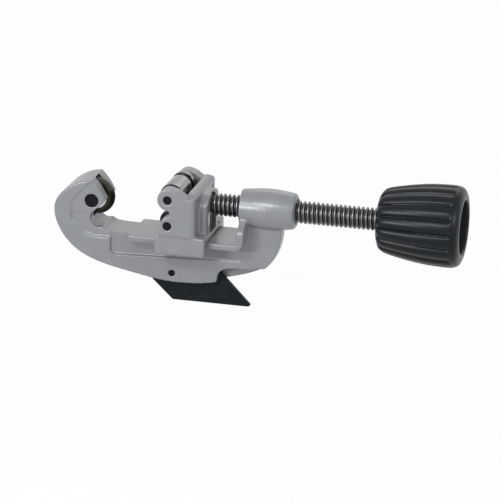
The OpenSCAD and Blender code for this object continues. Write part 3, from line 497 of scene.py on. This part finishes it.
def blade_shape():
    """The outline as a plate with broken edges."""
    outline = [(BLADE_AT[0] + s * BLADE_REACH, BLADE_AT[1] + t * BLADE_DROP)
               for s, t in BLADE_SHARES]
    shape = bmesh.new()
    near = shape.faces.new([shape.verts.new((x * MM, -BLADE_HALF * MM, z * MM))
                            for x, z in outline])
    extruded = bmesh.ops.extrude_face_region(shape, geom=[near])["geom"]
    far_points = [g for g in extruded if isinstance(g, bmesh.types.BMVert)]
    bmesh.ops.translate(shape, verts=far_points, vec=(0, 2 * BLADE_HALF * MM, 0))
    bmesh.ops.recalc_face_normals(shape, faces=shape.faces)
    corners = [e for e in shape.edges
               if len(e.link_faces) == 2 and e.calc_face_angle(0) > BEVEL_TURN]
    bmesh.ops.bevel(shape, geom=corners, offset=BLADE_BEVEL * MM, segments=2, affect="EDGES",
                    profile=0.5)
    return shape


finish_mesh("reamer_blade", blade_shape(), OXIDE_AND_PAINTED_SHADE, "reamer", ("reamer",))

# CAD nodes that stay, by their finish
FINISHES = {
    BRONZE: ("wheel_bush", "upper_roller_bushes", "lower_roller_bushes"),
    BLACKED: ("wheel_pin", "wheel_pin_clip", "upper_roller_pin", "lower_roller_pin",
              "screw_retaining_pin", "reamer_pin", "knob_screw"),
    PLATED: ("wheel_washers", "thrust_washer", "reamer_washers", "knob_washer"),
}
for material, nodes in FINISHES.items():
    for node in nodes:
        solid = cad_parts[node]
        if not solid.material_slots:
            solid.data.materials.append(material)
        for slot in solid.material_slots:
            slot.link = "OBJECT"
            slot.material = material

# World and floor. Camera, glossy and transmission rays see them white, and all others see a
# pale sky and pale paper.
WHITE = (1, 1, 1, 1)
SKY_COLOUR, SKY_STRENGTH = (0.93, 0.96, 1.0, 1), 0.36
PAPER_COLOUR, PAPER_ROUGH, PAPER_SPECULAR = (0.8, 0.8, 0.8, 1), 0.9, 0.1
# Share of white that those rays see in the world and on the floor. The rest of the floor's is
# its paper, with the object's shadow.
SKY_WHITE, FLOOR_WHITE = 1.0, 0.96
# Place of the floor's middle, just under the blade, and half its width
FLOOR_AT, FLOOR_HALF = (50.0, 0, -46.8), 3000.0


def white_for_camera(tree, shader, white, share, output):
    """Mix a white shader in for camera, glossy and transmission rays, and keep the plain one
    for all others."""
    path = new_node(tree, "ShaderNodeLightPath")
    seen = path.outputs["Is Camera Ray"]
    for ray in ("Is Glossy Ray", "Is Transmission Ray"):
        either = new_node(tree, "ShaderNodeMath", "MAXIMUM")
        tree.links.new(seen, either.inputs[0])
        tree.links.new(path.outputs[ray], either.inputs[1])
        seen = either.outputs[0]
    part = new_node(tree, "ShaderNodeMath", "MULTIPLY")
    part.inputs[1].default_value = share
    tree.links.new(seen, part.inputs[0])
    mix = new_node(tree, "ShaderNodeMixShader")
    tree.links.new(part.outputs[0], mix.inputs["Fac"])
    tree.links.new(shader, mix.inputs[1])
    tree.links.new(white, mix.inputs[2])
    tree.links.new(mix.outputs["Shader"], output)


def plain_white(tree, kind):
    """White background or emission of strength 1."""
    node = new_node(tree, kind)
    node.inputs["Color"].default_value = WHITE
    node.inputs["Strength"].default_value = 1.0
    return node.outputs[0]


def studio_world():
    world = bpy.data.worlds.new("studio")
    bpy.context.scene.world = world
    world.use_nodes = True
    tree = world.node_tree
    sky = tree.nodes["Background"]
    sky.inputs["Color"].default_value = SKY_COLOUR
    sky.inputs["Strength"].default_value = SKY_STRENGTH
    white = plain_white(tree, "ShaderNodeBackground")
    output = tree.nodes["World Output"].inputs["Surface"]
    white_for_camera(tree, sky.outputs["Background"], white, SKY_WHITE, output)


def floor_paper():
    paper = bpy.data.materials.new("floor")
    paper.use_nodes = True
    tree = paper.node_tree
    shader = tree.nodes["Principled BSDF"]
    shader.inputs["Base Color"].default_value = PAPER_COLOUR
    shader.inputs["Roughness"].default_value = PAPER_ROUGH
    shader.inputs["Specular IOR Level"].default_value = PAPER_SPECULAR
    white = plain_white(tree, "ShaderNodeEmission")
    output = tree.nodes["Material Output"].inputs["Surface"]
    white_for_camera(tree, shader.outputs["BSDF"], white, FLOOR_WHITE, output)
    return paper


def floor_plane():
    shape = bmesh.new()
    bmesh.ops.create_grid(shape, x_segments=2, y_segments=2, size=FLOOR_HALF * MM)
    mesh = bpy.data.meshes.new("floor")
    shape.to_mesh(mesh)
    shape.free()
    mesh.materials.append(floor_paper())
    floor = bpy.data.objects.new("floor", mesh)
    floor.location = [c * MM for c in FLOOR_AT]
    bpy.context.scene.collection.objects.link(floor)
    return floor


studio_world()
floor = floor_plane()

# Rectangular lamps: name, place, target and size in metres, watts, and colour
LAMPS = (
    ("key", (-0.3, -1.15, 0.9), (0.05, 0, 0), (0.5, 0.12), 8.0, (0.97, 0.98, 1.0)),
    ("fill", (0.95, -0.6, 0.55), (0.05, 0, 0), (0.4, 0.4), 4.0, (0.9, 0.95, 1.0)),
    ("rim", (0.1, 0.9, 0.8), (0.05, 0, 0), (0.9, 0.4), 2.0, (1, 1, 1)),
    ("side", (-0.52, -0.95, 0.26), (0.08, 0, 0), (0.24, 0.08), 5.5, (0.96, 0.98, 1.0)),
)
for name, place, target, size, watts, colour in LAMPS:
    light = bpy.data.lights.new(name, "AREA")
    light.shape = "RECTANGLE"
    light.size, light.size_y = size
    light.energy = watts
    light.color = colour
    lamp = bpy.data.objects.new(name, light)
    bpy.context.scene.collection.objects.link(lamp)
    facing = (Vector(target) - Vector(place)).to_track_quat("-Z", "Y")
    lamp.matrix_world = Matrix.Translation(place) @ facing.to_matrix().to_4x4()

# Camera with the photograph's own view, solved from its edges: place in metres, degrees to the
# side, upwards and of roll, and focal length in pixels of the photograph's width
CAMERA_AT = (0.350661, -1.306735, 0.419620)
CAMERA_SIDE, CAMERA_UP, CAMERA_ROLL = 13.0232, 18.1377, 1.4752
FOCAL_PIXELS, PHOTO_PIXELS, SENSOR_WIDTH = 3192.72, 500, 36.0
# Nearest and farthest metres that the camera sees
CLIP_NEAR, CLIP_FAR = 0.05, 20.0


def photo_camera():
    lens = bpy.data.cameras.new("camera")
    lens.sensor_width = SENSOR_WIDTH
    lens.lens = FOCAL_PIXELS / PHOTO_PIXELS * SENSOR_WIDTH
    lens.clip_start = CLIP_NEAR
    lens.clip_end = CLIP_FAR
    camera = bpy.data.objects.new("camera", lens)
    bpy.context.scene.collection.objects.link(camera)
    turns = ((CAMERA_SIDE, "Z"), (90 - CAMERA_UP, "X"), (CAMERA_ROLL, "Z"))
    view = Matrix.Translation(CAMERA_AT)
    for degrees, axis in turns:
        view = view @ Matrix.Rotation(math.radians(degrees), 4, axis)
    camera.matrix_world = view
    return camera


bpy.context.scene.camera = photo_camera()
bpy.context.scene.view_settings.view_transform = "Standard"
